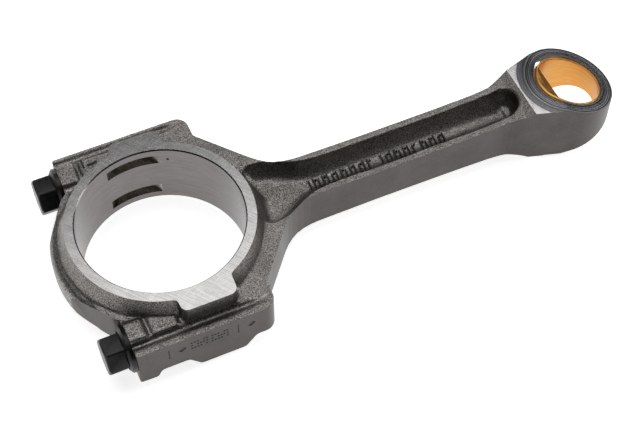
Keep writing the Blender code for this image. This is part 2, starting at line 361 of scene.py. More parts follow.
# %% Slow patches of darker and lighter steel
patches, given, gives = new_effect("steel_patches", {"Patches per metre": 160.0}, ["Mask"])
place = node(patches, "ShaderNodeTexCoord").outputs["Object"]
cloud = node(patches, "ShaderNodeTexNoise", Vector=place, Scale=given["Patches per metre"], Detail=4.0,
             Roughness=0.55)
spread = node(patches, "ShaderNodeMapRange", Value=cloud.outputs["Fac"], From_Min=0.3, From_Max=0.7)
patches.links.new(spread.outputs["Result"], gives["Mask"])
print("effect", patches.name)

# %% Straight grinding scratches
scratches, given, gives = new_effect(
    "grinding_scratches", {"Turn": (0.0, 0.0, 0.0), "Stretch": (1.0, 40.0, 1.0), "Lines per metre": 90.0},
    ["Mask"])
place = node(scratches, "ShaderNodeTexCoord").outputs["Object"]
turned_place = node(scratches, "ShaderNodeMapping", Vector=place, Rotation=given["Turn"])
stretched = node(scratches, "ShaderNodeVectorMath", "MULTIPLY", _0=turned_place.outputs[0],
                 _1=given["Stretch"])
line_noise = node(scratches, "ShaderNodeTexNoise", Vector=stretched.outputs[0],
                  Scale=given["Lines per metre"], Detail=5.0, Roughness=0.6)
spread = node(scratches, "ShaderNodeMapRange", Value=line_noise.outputs["Fac"], From_Min=0.35, From_Max=0.65)
scratches.links.new(spread.outputs["Result"], gives["Mask"])
print("effect", scratches.name)

# %% Rings left by a turning tool, also used to paint ring-shaped reflection into a colour
rings, given, gives = new_effect(
    "turning_rings_and_sheen", {"Axis": (0.0, 0.0, 0.0), "Rings per metre": 1500.0}, ["Mask"])
place = node(rings, "ShaderNodeTexCoord").outputs["Object"]
from_axis = node(rings, "ShaderNodeVectorMath", "SUBTRACT", _0=place, _1=given["Axis"])
flat = node(rings, "ShaderNodeVectorMath", "MULTIPLY", _0=from_axis.outputs[0], _1=(1.0, 1.0, 0.0))
radius = node(rings, "ShaderNodeVectorMath", "LENGTH", _0=flat.outputs[0])
along = node(rings, "ShaderNodeMath", "MULTIPLY", _0=radius.outputs["Value"], _1=given["Rings per metre"])
ring_noise = node(rings, "ShaderNodeTexNoise", Scale=1.0, Detail=3.0, Roughness=0.6)
ring_noise.noise_dimensions = "1D"
rings.links.new(along.outputs[0], ring_noise.inputs["W"])
spread = node(rings, "ShaderNodeMapRange", Value=ring_noise.outputs["Fac"], From_Min=0.3, From_Max=0.7)
rings.links.new(spread.outputs["Result"], gives["Mask"])
print("effect", rings.name)

# %% [markdown]
# A finish is a Principled shader whose colour runs between two steels, and whose bump and roughness
# come from the effects. What is the same all over, such as how metallic it is, is set on the shader.

# %% A steel from two tones
def steel(name, metallic=1.0):
    """A new finish: its material, its node tree and its shader."""
    made = bpy.data.materials.new(name)
    made.use_nodes = True
    shader = made.node_tree.nodes["Principled BSDF"]
    shader.inputs["Metallic"].default_value = metallic
    return made, made.node_tree, shader


def tones(tree, mask, dark, light):
    """A colour between two tones, by a mask."""
    mixed = node(tree, "ShaderNodeMix", Factor=mask)
    mixed.data_type = "RGBA"
    mixed.inputs[6].default_value = (*dark, 1.0)
    mixed.inputs[7].default_value = (*light, 1.0)
    return mixed.outputs[2]


def shaded(tree, colour, mask, darkest):
    """The colour, darkened where the mask is low, down to a fraction of itself."""
    amount = node(tree, "ShaderNodeMapRange", Value=mask, To_Min=darkest)
    mixed = node(tree, "ShaderNodeMix")
    mixed.data_type = "RGBA"
    mixed.blend_type = "MULTIPLY"
    mixed.inputs[0].default_value = 1.0
    tree.links.new(colour, mixed.inputs[6])
    tree.links.new(amount.outputs["Result"], mixed.inputs[7])
    return mixed.outputs[2]


def paint(tree, shader, colour, mask, low, high):
    """Set a finish's colour, and its roughness between two limits by a mask."""
    rough = node(tree, "ShaderNodeMapRange", Value=mask, To_Min=low, To_Max=high)
    tree.links.new(colour, shader.inputs["Base Color"])
    tree.links.new(rough.outputs["Result"], shader.inputs["Roughness"])


def bumped(tree, shader, height, depth, before=None):
    """Bump of a given depth in metres, on top of an earlier one."""
    made = node(tree, "ShaderNodeBump", Strength=1.0, Distance=depth, Height=height)
    if before:
        tree.links.new(before, made.inputs["Normal"])
    tree.links.new(made.outputs["Normal"], shader.inputs["Normal"])
    return made.outputs["Normal"]


print("helpers for finishes: steel, tones, shaded, paint, bumped")

# %% Forged skin
forged_skin, tree, shader = steel("forged_skin")
grain = effect(tree, speckle, Grains_per_metre=3000.0)
cloudy = effect(tree, patches, Patches_per_metre=140.0)
colour = tones(tree, grain["Mask"], (0.055, 0.05, 0.047), (0.48, 0.455, 0.435))
paint(tree, shader, shaded(tree, colour, cloudy["Mask"], 0.72), grain["Mask"], 0.46, 0.3)
bumped(tree, shader, grain["Height"], 0.00010)
print("finish", forged_skin.name)

# %% Trimmed walls
trimmed_wall, tree, shader = steel("trimmed_wall")
cloudy = effect(tree, patches, Patches_per_metre=90.0)
grain = effect(tree, speckle, Grains_per_metre=1500.0)
sheared = effect(tree, scratches, Stretch=(1.0, 1.0, 0.12), Lines_per_metre=1200.0)
colour = tones(tree, cloudy["Mask"], (0.075, 0.067, 0.066), (0.115, 0.104, 0.102))
paint(tree, shader, shaded(tree, colour, grain["Mask"], 0.86), cloudy["Mask"], 0.34, 0.44)
first = bumped(tree, shader, sheared["Mask"], 0.000012)
bumped(tree, shader, grain["Height"], 0.000012, first)
print("finish", trimmed_wall.name)

# %% Milled faces
milled_face, tree, shader = steel("milled_face")
one_way = effect(tree, scratches, Turn=(0.0, 0.0, 0.9), Stretch=(1.0, 22.0, 1.0), Lines_per_metre=160.0)
other_way = effect(tree, scratches, Turn=(0.0, 0.0, -0.5), Stretch=(1.0, 16.0, 1.0), Lines_per_metre=210.0)
cloudy = effect(tree, patches, Patches_per_metre=220.0)
colour = tones(tree, one_way["Mask"], (0.45, 0.441, 0.437), (0.62, 0.611, 0.602))
paint(tree, shader, shaded(tree, colour, cloudy["Mask"], 0.88), other_way["Mask"], 0.17, 0.24)
first = bumped(tree, shader, one_way["Mask"], 0.0000015)
bumped(tree, shader, other_way["Mask"], 0.000001, first)
print("finish", milled_face.name)

# %% Honed bore
honed_bore, tree, shader = steel("honed_bore")
hone_lines = effect(tree, scratches, Stretch=(1.0, 1.0, 30.0), Lines_per_metre=110.0)
cloudy = effect(tree, patches, Patches_per_metre=120.0)
colour = tones(tree, hone_lines["Mask"], (0.17, 0.158, 0.155), (0.23, 0.216, 0.213))
paint(tree, shader, shaded(tree, colour, cloudy["Mask"], 0.9), hone_lines["Mask"], 0.22, 0.3)
bumped(tree, shader, hone_lines["Mask"], 0.000006)
print("finish", honed_bore.name)

# %% Floor of the shell notches
notch_floor, tree, shader = steel("notch_floor")
cloudy = effect(tree, patches, Patches_per_metre=300.0)
colour = tones(tree, cloudy["Mask"], (0.30, 0.28, 0.26), (0.46, 0.43, 0.4))
paint(tree, shader, colour, cloudy["Mask"], 0.22, 0.34)
print("finish", notch_floor.name)

# %% Turned face of the small end, with painted reflection in its colour
turned_face_and_painted_reflection, tree, shader = steel("turned_face_and_painted_reflection")
eye_axis = tuple(CENTRE + Vector((PIN_X / METRE, 0.0, 0.0)))
fine_rings_and_sheen = effect(tree, rings, Axis=eye_axis, Rings_per_metre=1700.0)
broad_rings_and_sheen = effect(tree, rings, Axis=eye_axis, Rings_per_metre=420.0)
# Painted reflection: the near-black tone and its light and dark rings stand in for the dark and light
# reflections of a fine-turned face; the turning marks themselves are the bump and the roughness.
colour = tones(tree, fine_rings_and_sheen["Mask"], (0.03, 0.03, 0.034), (0.34, 0.34, 0.352))
paint(tree, shader, shaded(tree, colour, broad_rings_and_sheen["Mask"], 0.7), broad_rings_and_sheen["Mask"], 0.2, 0.32)
first = bumped(tree, shader, fine_rings_and_sheen["Mask"], 0.00007)
bumped(tree, shader, broad_rings_and_sheen["Mask"], 0.00006, first)
print("finish", turned_face_and_painted_reflection.name)

# %% Cracked faces
cracked_face, tree, shader = steel("cracked_face")
grain = effect(tree, speckle, Grains_per_metre=1800.0)
colour = tones(tree, grain["Mask"], (0.2, 0.2, 0.2), (0.62, 0.61, 0.6))
paint(tree, shader, colour, grain["Mask"], 0.55, 0.38)
bumped(tree, shader, grain["Height"], 0.00025)
print("finish", cracked_face.name)

# %% Black oxide of the bolts
black_oxide, tree, shader = steel("black_oxide", metallic=0.0)
shader.inputs["Specular IOR Level"].default_value = 0.35
cloudy = effect(tree, patches, Patches_per_metre=400.0)
grain = effect(tree, speckle, Grains_per_metre=3000.0)
colour = tones(tree, cloudy["Mask"], (0.005, 0.005, 0.005), (0.011, 0.011, 0.010))
paint(tree, shader, colour, cloudy["Mask"], 0.24, 0.4)
bumped(tree, shader, grain["Height"], 0.00002)
print("finish", black_oxide.name)

# %% Bush bronze
bush_bronze, tree, shader = steel("bush_bronze")
burnish = effect(tree, scratches, Stretch=(1.0, 1.0, 24.0), Lines_per_metre=120.0)
cloudy = effect(tree, patches, Patches_per_metre=150.0)
colour = tones(tree, burnish["Mask"], (0.64, 0.31, 0.075), (0.78, 0.41, 0.115))
paint(tree, shader, shaded(tree, colour, cloudy["Mask"], 0.86), cloudy["Mask"], 0.32, 0.42)
bumped(tree, shader, burnish["Mask"], 0.000004)
print("finish", bush_bronze.name)

# %% Near-black marks
stamp_black, tree, shader = steel("stamp_black", metallic=0.4)
grain = effect(tree, speckle, Grains_per_metre=2600.0)
# The struck and raised marks are coloured near-black.
colour = tones(tree, grain["Mask"], (0.018, 0.017, 0.016), (0.07, 0.065, 0.06))
paint(tree, shader, colour, grain["Mask"], 0.6, 0.45)
bumped(tree, shader, grain["Height"], 0.00008)
print("finish", stamp_black.name)

# %% [markdown]
# ## The rod's forging
# A forging starts as a rough shape with soft edges, and the machining afterwards leaves the crisp
# ones. So the rod is first built fat, from plates and cones that overlap. A voxel remesh melts them
# into one skin and a smoothing rounds every edge and corner as the die does. The crisp faces are
# then cut from it in the same order as in the factory.

# %% Outline of the rod
BEAM_Y = 8.4                     # half the shank's width
FLANK_FOOT_X = 44.0
FLANK_TURN = 107.0               # the small end's straight sides touch its arc at this angle


def rod_outline(grow):
    """The rod in plan, all its sides moved outwards by grow."""
    eye = EYE_R + grow
    touch_x = PIN_X + eye * math.cos(math.radians(FLANK_TURN))
    touch_y = eye * math.sin(math.radians(FLANK_TURN))
    beam = BEAM_Y + grow
    knee_x = touch_x - (touch_y - beam) / math.tan(math.radians(FLANK_TURN - 90.0))
    half = [(-OVER, SIDE_Y + grow, 0.0), (SHOULDER_X + grow, SIDE_Y + grow, 4.4),
            (SHOULDER_X + grow, SHOULDER_FOOT_Y + grow * 0.3, 1.5),
            (FLANK_FOOT_X + grow * 0.2, beam, 20.0), (knee_x, beam, 14.0)]
    round_end = [(x, y, 0.0) for x, y in arc(PIN_X, 0.0, eye, FLANK_TURN, -FLANK_TURN, 48)]
    return rounded(half + round_end + [(x, -y, r) for x, y, r in reversed(half)])


print(f"the rod's outline has {len(rod_outline(0.0))} points")

# %% Side view of the rod's skin
EYE_FACE_X = 135.4               # where the milled face of the small end starts
TAPER_X = 146.1                  # where its faces start to slope towards the tip
TAPER_SLOPE = 0.35
SKIN_HEIGHTS = [(-OVER - 2.0, FIELD_HALF), (25.0, FIELD_HALF), (50.0, 8.3), (78.0, 7.9), (105.0, 8.1),
                (120.0, 8.5), (127.5, 9.4), (132.5, 10.9), (137.4, 13.4), (PIN_X + EYE_R + 9.0, 13.4)]


def side_view(name, heights):
    """A solid between z = -height and z = height, with the heights given along the rod."""
    outline = heights + [(x, -z) for x, z in reversed(heights)]
    return upright(plate(name, outline, -SIDE_Y - OVER, SIDE_Y + OVER))


forging = plate("rod_forging_skin", rod_outline(TRIM_STOCK), -CRANK_HALF - 1.0, CRANK_HALF + 1.0)
forging = combine(forging, side_view("skin_side_view", SKIN_HEIGHTS), "INTERSECT")
print("rough plate of the rod:", len(forging.data.polygons), "faces")

# %% [markdown]
# The pocket makes the shank an I-beam: it saves weight where the metal does little. Its bottom is
# round where it meets the flanges, so it is cut in terraces that get narrower as they get deeper,
# and the smoothing later turns the terraces into one round bottom.

# %% Pocket in terraces
WEB_HALF = 2.0                   # half of the metal left between the two pockets
POCKET_Y = 5.8                   # half the pocket's width at the top of the flanges
TERRACES = ((0.0, 6.7), (0.5, 5.4), (1.1, 4.3), (1.9, 3.4), (2.8, 2.6), (3.8, WEB_HALF))


def pocket_outline(shrink):
    """The pocket in plan: a triangle beside the crank bore that runs into the shank."""
    inner = 34.6 + shrink * 0.7
    half = [(inner * math.cos(math.radians(21.0)), 13.2 - shrink, 2.6),
            (40.5 - shrink * 0.2, 12.3 - shrink, 4.0), (53.0, POCKET_Y + 0.2 - shrink, 22.0),
            (133.6 - shrink * 0.8, POCKET_Y - shrink, (POCKET_Y - shrink) * 0.95)]
    return rounded([(inner, 0.0, 0.0)] + [(x, y, r) for x, y, r in half]
                   + [(x, -y, r) for x, y, r in reversed(half)])


for shrink, floor in TERRACES:
    terrace = both_faces(plate("pocket", pocket_outline(shrink), floor, CRANK_HALF + OVER))
    forging = combine(forging, terrace, "DIFFERENCE")
print("pocket cut in", len(TERRACES), "terraces on each face")

# %% [markdown]
# Round the crank bore both halves of the big end have the same shapes: a ring with a drafted wall,
# a thrust pad on each side, a rail along the edge with a dip inside it, and a boss for each bolt.
# They are made by functions, once for the rod's half and once for the cap's.

# %% Ring and thrust pads
RING_R = 32.0
RING_FOOT_R = 34.4
PAD_CORNER_R = 2.4
PAD_START_X = -6.2
UNDER_REACH = 39.6               # the pads on the underside are wider
SKIRT_SIDE_VIEW = [(-7.8, -4.0), (-7.6, -6.5), (-3.4, -11.9), (12.2, -11.9), (16.6, -6.5), (16.8, -4.0)]


def ring_cone():
    """The drafted ring round the bore, on both faces."""
    low = 4.0
    top = CRANK_HALF + FACE_STOCK
    slope = (RING_FOOT_R - RING_R) / (CRANK_HALF - FIELD_HALF)
    bpy.ops.mesh.primitive_cone_add(vertices=128, radius1=RING_FOOT_R + (FIELD_HALF - low) * slope,
                                    radius2=RING_R - FACE_STOCK * slope, depth=top - low,
                                    location=(0.0, 0.0, (top + low) / 2.0))
    piece = bpy.context.object
    piece.name = "ring"
    freeze()
    return both_faces(piece)


def thrust_pad(side, reach, end_x, low, high):
    """The pad beside the bore on one side, out to y = reach."""
    corners = [(PAD_START_X, side * 20.0, 0.0), (PAD_START_X, side * reach, PAD_CORNER_R),
               (end_x, side * reach, PAD_CORNER_R), (end_x + 0.4, side * 29.3, 1.0),
               (end_x + 3.0, side * 20.0, 0.0)]
    return plate("pad", rounded(corners), low, high)


def skirt(side, outline):
    """Metal that carries a feature of the underside out into the side wall, from its side view."""
    low, high = sorted((-side * 30.0, -side * (SIDE_Y + TRIM_STOCK)))
    return upright(plate("skirt", outline, low, high))


def shared_parts():
    """Ring and pads, which the crack later divides between rod and cap."""
    foot, top = 4.0, CRANK_HALF + FACE_STOCK
    parts = [ring_cone()]
    for side, reach, end_x in ((-1.0, 36.6, 12.9), (1.0, 35.8, 11.6)):
        parts.append(thrust_pad(side, reach, end_x, foot, top))
        parts.append(thrust_pad(side, UNDER_REACH, end_x, -top, -foot))
        parts.append(skirt(side, SKIRT_SIDE_VIEW))
    return parts


print("shared parts: ring and two pads on each face, the lower pads wider")

# %% Rails, dips and bosses
DIPS = {-1.0: (38.3, 1.4, 1.0), 1.0: (39.8, 1.6, 1.3)}  # y, radius and depth of the dip on each side
DIP_FADE = 8.0                   # the length over which it rises out of the metal


def dip(side, start, end):
    """Tool for the dip inside the rail, on both faces, with an end that fades out."""
    y, radius, depth = DIPS[side]
    groove = rod_stock("dip", radius, start, end - DIP_FADE, vertices=32)
    pick(groove, lambda middle, normal: normal.z > 0.9)
    pull((-depth, 0.0, DIP_FADE))
    groove = lay_along_x(done(groove), side * y)
    groove.location.z = FIELD_HALF + radius - depth
    freeze()
    return both_faces(groove)


def hump(side, start, end, low_y, high_y, top):
    """A low platform on the field, with its top a little smaller than its foot."""
    draft = 0.7
    near_y, far_y = sorted((side * low_y, side * high_y))
    piece = block("hump", (start, near_y, 3.0), (end, far_y, top))
    pick(piece, lambda middle, normal: normal.z > 0.9)
    bpy.ops.transform.resize(value=(1.0 - 2 * draft / (end - start), 1.0 - 2 * draft / (high_y - low_y), 1.0),
                             center_override=((start + end) / 2, side * (low_y + high_y) / 2, top))
    return done(piece)


print("tools for the edge: dip, hump")

# %% Melting parts into one forged skin
VOXEL = 0.5
DIE_ROUNDS = 14                  # smoothing passes, about a millimetre of radius
BLAST_DEPTH = 0.12
dents = bpy.data.textures.new("blast_dents", "CLOUDS")
dents.noise_scale = 1.5
dents.noise_depth = 2


def forge(parts, name):
    """Join overlapping parts, melt them into one skin and round it as a forging die does."""
    piece = dress(gather(parts, name), forged_skin)
    only(piece)
    skin = piece.modifiers.new("skin", "REMESH")
    skin.mode = "VOXEL"
    skin.voxel_size = VOXEL
    apply(skin)
    radii = piece.modifiers.new("die_radii", "SMOOTH")
    radii.factor = 0.5
    radii.iterations = DIE_ROUNDS
    apply(radii)
    blasted = piece.modifiers.new("blasted", "DISPLACE")
    blasted.texture = dents
    blasted.texture_coords = "LOCAL"
    blasted.strength = BLAST_DEPTH
    apply(blasted)
    return piece


for side in (-1.0, 1.0):
    forging = combine(forging, dip(side, -OVER - 4.0, 23.5), "DIFFERENCE")
eye_tab = both_faces(block("eye_tab", (129.6, -3.4, 0.5), (131.9, 2.8, 3.3)))
forging = forge([forging, eye_tab, *shared_parts()], "rod_forging_skin")
print("the rod's forged skin has", len(forging.data.polygons), "faces")

# %% [markdown]
# The machine cuts come next. The trimming press shears the flash off along the outline, which
# leaves the smooth upright walls, and the mill then takes both thrust faces to width. One envelope
# does both: it is the outline pulled up to the finished width, and only what lies inside it stays.

# %% Envelope of the machined faces
def finish_faces(piece, finish, wanted):
    """Give some faces of a piece another finish."""
    piece.data.materials.append(finish)
    pick(piece, wanted)
    piece.active_material_index = len(piece.data.materials) - 1
    bpy.ops.object.material_slot_assign()
    bpy.ops.object.mode_set(mode="OBJECT")
    return piece


def envelope(name, outline):
    """What is left after trimming to an outline and milling both faces to width."""
    piece = dress(plate(name, outline, -CRANK_HALF, CRANK_HALF), trimmed_wall)
    return finish_faces(piece, milled_face, lambda middle, normal: abs(normal.z) > 0.9)


rod_envelope = envelope("rod_envelope", rod_outline(0.0))
end_x = PIN_X + EYE_R + OVER
eye_heights = [(-OVER - 2.0, CRANK_HALF + OVER), (EYE_FACE_X - 4.0, CRANK_HALF + OVER),
               (EYE_FACE_X - 4.0, EYE_HALF), (TAPER_X, EYE_HALF),
               (end_x, EYE_HALF - (end_x - TAPER_X) * TAPER_SLOPE)]
eye_cut = dress(side_view("eye_cut", eye_heights), milled_face)
eye_cut = finish_faces(eye_cut, turned_face_and_painted_reflection, lambda middle, normal: 0.1 < normal.x < 0.9)
rod_envelope = combine(rod_envelope, eye_cut, "INTERSECT")
print("the rod's envelope has", len(rod_envelope.data.polygons), "faces")

# %% Spot face round the pin bore
SPOT_FACE_R = 19.0
SPOT_FACE_DEPTH = 0.2
spot_face = rod_stock("spot_face", SPOT_FACE_R, EYE_HALF - SPOT_FACE_DEPTH, EYE_HALF + OVER, PIN_X,
                      vertices=192)
rod_envelope = combine(rod_envelope, both_faces(dress(spot_face, turned_face_and_painted_reflection)), "DIFFERENCE")
forging = combine(forging, rod_envelope, "INTERSECT")
print("trimmed and milled:", len(forging.data.polygons), "faces")

# %% [markdown]
# The bores, bolt holes and shell notches are drilled through rod and cap together, and the crack
# comes last: the bore is notched and wedged apart, and the steel splits along a rough face that
# only fits its other half. Here one rippled sheet is the crack, and each half is cut by the solid
# on its far side. The tools that meet are fused and the others only gathered with them, because a
# small tool is quick to fuse and the dense skin then needs only one cut.

# %% Bore tools
def chamfered_plug(name, radius, half, lead, depth, x=0.0):
    """A tool for a bore whose edges get a chamfer: lead outwards, depth along the bore."""
    piece = rod_stock(name, radius, -half + depth, half - depth, x, vertices=192)
    rise = depth + OVER
    wider = (radius + lead * rise / depth) / radius
    for up in (1.0, -1.0):
        pick(piece, lambda middle, normal: normal.z * up > 0.9)
        pull((0.0, 0.0, up * rise))
        bpy.ops.transform.resize(value=(wider, wider, 1.0), center_override=(x, 0.0, up * half))
        done(piece)
    return piece


NOTCH_CUTTER_R = 11.2
NOTCH_LOW, NOTCH_HIGH = 6.2, 10.4
NOTCH_X, NOTCH_Y = -0.2, 20.6


def notch_tool():
    """The two slots in the bore that keep the bearing shells from turning."""
    notch = rod_stock("notch", NOTCH_CUTTER_R, NOTCH_LOW, NOTCH_HIGH, NOTCH_X, NOTCH_Y, vertices=96)
    return both_faces(dress(notch, notch_floor))


def bolt_hole(side, radius, start, end):
    """A drill along X."""
    drill = rod_stock("bolt_hole", radius, start, end, vertices=64)
    return dress(lay_along_x(drill, side * BOLT_Y), honed_bore)


print("tools for the bores: chamfered_plug, notch_tool, bolt_hole")

# %% Crack tool
CRACK_GAP = 0.02
RIPPLE = 0.6                     # height of the waves in the crack
ripples = bpy.data.textures.new("crack_ripples", "CLOUDS")
ripples.noise_scale = 2.6
ripples.noise_depth = 3


def crack_tool(side):
    """All the space on one side of the crack."""
    bpy.ops.mesh.primitive_grid_add(x_subdivisions=50, y_subdivisions=140, size=1.0)
    piece = bpy.context.object
    piece.name = "crack"
    piece.scale = (36.0, 100.0, 1.0)
    piece.rotation_euler = (0.0, math.radians(90.0), 0.0)
    freeze()
    ripple = piece.modifiers.new("ripple", "DISPLACE")
    ripple.texture = ripples
    ripple.texture_coords = "LOCAL"
    ripple.direction = "X"
    ripple.strength = RIPPLE
    apply(ripple)
    bpy.ops.object.mode_set(mode="EDIT")
    bpy.ops.mesh.select_all(action="SELECT")
    bpy.ops.transform.translate(value=(-side * CRACK_GAP / 2.0, 0.0, 0.0))
    pull((side * 70.0, 0.0, 0.0))
    return dress(done(piece), cracked_face)


print("tool for the crack: crack_tool, with a gap of", CRACK_GAP, "mm")

# %% Generic marks
MARK_DEPTH = 0.14
MARK_HALF = 0.22                 # half the width of a bar or a stroke
DOT_R = 0.5
DOT_PLACE = (12.0, 25.8, 8.3)    # just behind the wall of the crank bore


def wall_marks(side, bar_x, lozenge_x):
    """Tools for an upright bar and a lozenge struck into a side wall."""
    low_y, high_y = sorted((side * (SIDE_Y - MARK_DEPTH), side * (SIDE_Y + MARK_DEPTH)))
    bar = block("bar", (bar_x - MARK_HALF, low_y, -1.4), (bar_x + MARK_HALF, high_y, 3.6))
    lozenge = block("lozenge", (-0.8, low_y, -0.8), (0.8, high_y, 0.8))
    lozenge.rotation_euler = (0.0, math.radians(45.0), 0.0)
    lozenge.scale.z = 1.5
    lozenge.location = (lozenge_x, 0.0, 1.2)
    only(lozenge)
    freeze()
    return dress(gather([bar, lozenge], "wall_marks"), stamp_black)


def peened_dots(side, start):
    """Tools for three rows of dots struck into a side wall."""
    dots = []
    for row, z in enumerate((3.0, 1.4, -0.2)):
        for step in range(6):
            if (step + 2 * row) % 5 == 3:
                continue
            bpy.ops.mesh.primitive_cylinder_add(vertices=12, radius=0.38, depth=2 * MARK_DEPTH,
                                                location=(start + step * 1.05, side * SIDE_Y, z),
                                                rotation=(math.radians(90.0), 0.0, 0.0))
            dots.append(bpy.context.object)
            freeze()
    return dress(gather(dots, "peened_dots"), stamp_black)


def drilled_dot():
    """Tool for a small round mark inside the crank bore."""
    bpy.ops.mesh.primitive_uv_sphere_add(segments=16, ring_count=8, radius=DOT_R, location=DOT_PLACE)
    freeze()
    return dress(bpy.context.object, stamp_black)


print("tools for marks: wall_marks, peened_dots, drilled_dot")

# %% Drilling and cracking the rod
TAPPED_R = 4.1
BORE_CHAMFER = 0.4
tool = dress(chamfered_plug("crank_bore", CRANK_BORE_R, CRANK_HALF, BORE_CHAMFER, BORE_CHAMFER), honed_bore)
tool = combine(tool, notch_tool(), "UNION")
tool = combine(tool, drilled_dot(), "UNION")
for side in (-1.0, 1.0):
    tool = combine(tool, bolt_hole(side, TAPPED_R, -OVER, SHOULDER_X + OVER), "UNION")
tool = combine(tool, crack_tool(-1.0), "UNION")
pin_bore = dress(chamfered_plug("pin_bore", BUSH_R + 0.02, EYE_HALF, 1.1, 0.9, PIN_X), milled_face)
tool = gather([tool, pin_bore, wall_marks(-1.0, 9.9, 14.6), peened_dots(-1.0, 0.9)], "rod_tools")
forging = combine(forging, tool, "DIFFERENCE")
print("the rod is bored, drilled and cracked:", len(forging.data.polygons), "faces")

# %% Raised marks on the web
WEB_MARK_TOP = WEB_HALF + 0.9
ROW_START, ROW_END, ROW_Y = 54.0, 105.5, -0.7


def web_marks():
    """A row of plain raised strokes, long and short, where a forging carries its die marks."""
    strokes = []
    count = 31
    for step in range(count):
        x = ROW_START + (ROW_END - ROW_START) * step / (count - 1)
        if step in (14, 15, 24):
            continue
        half = (2.3, 2.3, 1.6)[step % 3]
        strokes.append(block("stroke", (x - MARK_HALF, ROW_Y - half, WEB_HALF - 1.0),
                             (x + MARK_HALF, ROW_Y + half, WEB_MARK_TOP)))
        if step % 2 == 1:
            strokes.append(block("stroke", (x + 0.5, ROW_Y + 1.4, WEB_HALF - 1.0),
                                 (x + 1.2, ROW_Y + 1.8, WEB_MARK_TOP)))
    return dress(gather(strokes, "web_marks"), stamp_black)


forging = combine(forging, web_marks(), "UNION")
print("raised marks on the web:", len(forging.data.polygons), "faces")

# %% Into the frame
def settle(piece, name, body, node_name, sharp=28.0):
    """Turn a finished piece into metres, put it in the frame and let it ride on its body."""
    only(piece)
    piece.name = name
    piece.data.name = name
    bpy.ops.object.shade_smooth_by_angle(angle=math.radians(sharp))
    piece.scale = (1.0 / METRE, 1.0 / METRE, 1.0 / METRE)
    piece.location = CENTRE
    freeze()
    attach(piece, body)
    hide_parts(node_name)
    triangles = sum(len(face.vertices) - 2 for face in piece.data.polygons)
    print(f"{name}: {triangles} triangles, rides on {body}")


settle(forging, "rod_forging_skin", "rod", "rod_forging")

# %% [markdown]
# ## The bearing cap
# The cap goes through the same steps: a bull-nosed band round the bore, a fat plate on each side
# with its rail and dip, a boss under each bolt head, then melting, trimming, boring and cracking.

# %% Parts of the cap
NOSE_ROUND = 3.4
BACK_CORNER = (-29.5, 21.3)      # where the trimmed back meets the trimmed side
BOSS_END_X = -17.9
BOSS_TOP = 8.4
UNDER_BOSS_SIDE_VIEW = [(SEAT_X - 3.0, -4.0), (SEAT_X - 3.0, -9.4), (-18.4, -9.8), (-17.0, -6.5),
                        (-17.0, -4.0)]
PLATFORM_X = -17.5               # a groove is left between the boss and the platform beside it
PLATFORM_TOP = 7.7


def cap_band():
    """The band behind the ring, with its outer edges rounded to a bull nose."""
    piece = rod_stock("band", CAP_BACK_R, -FIELD_HALF + 0.2, FIELD_HALF - 0.2)
    pick(piece, lambda middle, normal: abs(normal.z) > 0.9)
    bpy.ops.mesh.bevel(offset=NOSE_ROUND, segments=5, profile=0.5)
    return done(piece)


def cap_outline(grow):
    """The cap in plan, its trimmed sides moved outwards by grow and its back left to the die."""
    back = CAP_BACK_R + 0.8 + grow
    turn = 13.0
    half = [(SEAT_X - grow, SIDE_Y + grow, 0.8), (SEAT_X - grow, 27.2, 0.6), (-26.6 - grow, 25.6, 1.6),
            (BACK_CORNER[0] - grow * 0.8, BACK_CORNER[1] + grow * 0.5, 2.0)]
    round_back = [(x, y, 0.0) for x, y in arc(0.0, 0.0, back, 180.0 - turn, 180.0 + turn, 8)]
    return rounded([(OVER, SIDE_Y + grow, 0.0), *half, *round_back,
                    *[(x, -y, r) for x, y, r in reversed(half)], (OVER, -SIDE_Y - grow, 0.0)])


print("cap outline has", len(cap_outline(0.0)), "points")

# %% The cap's forging
cap = plate("cap_plate", cap_outline(TRIM_STOCK), -FIELD_HALF + 0.1, FIELD_HALF - 0.1)
behind = block("behind", (-CAP_BACK_R - 5.0, -24.0, -CRANK_HALF), (-30.5, 24.0, CRANK_HALF))
cap = combine(cap, behind, "DIFFERENCE")
for side in (-1.0, 1.0):
    cap = combine(cap, dip(side, SEAT_X - 4.0, OVER + 4.0 + DIP_FADE), "DIFFERENCE")
parts = [cap, cap_band(), *shared_parts()]
for side in (-1.0, 1.0):
    parts.append(hump(side, SEAT_X - 3.0, BOSS_END_X, 28.8, 38.4 + side * 0.5, BOSS_TOP))
    parts.append(both_faces(hump(side, PLATFORM_X, -7.2, 29.5, 38.0 + side * 0.4, PLATFORM_TOP)))
    parts.append(skirt(side, UNDER_BOSS_SIDE_VIEW))
cap = forge(parts, "bearing_cap_skin")
print("the cap's forged skin has", len(cap.data.polygons), "faces")

# %% Machining the cap
CLEAR_R = 4.3
cap = combine(cap, envelope("cap_envelope", cap_outline(0.0)), "INTERSECT")
tool = dress(chamfered_plug("crank_bore", CRANK_BORE_R, CRANK_HALF, BORE_CHAMFER, BORE_CHAMFER), honed_bore)
tool = combine(tool, notch_tool(), "UNION")
for side in (-1.0, 1.0):
    tool = combine(tool, bolt_hole(side, CLEAR_R, SEAT_X - OVER, OVER), "UNION")
tool = combine(tool, crack_tool(1.0), "UNION")
tool = gather([tool, wall_marks(-1.0, -14.0, -9.4), peened_dots(-1.0, -6.2)], "cap_tools")
cap = combine(cap, tool, "DIFFERENCE")
print("the cap is bored, drilled and cracked:", len(cap.data.polygons), "faces")

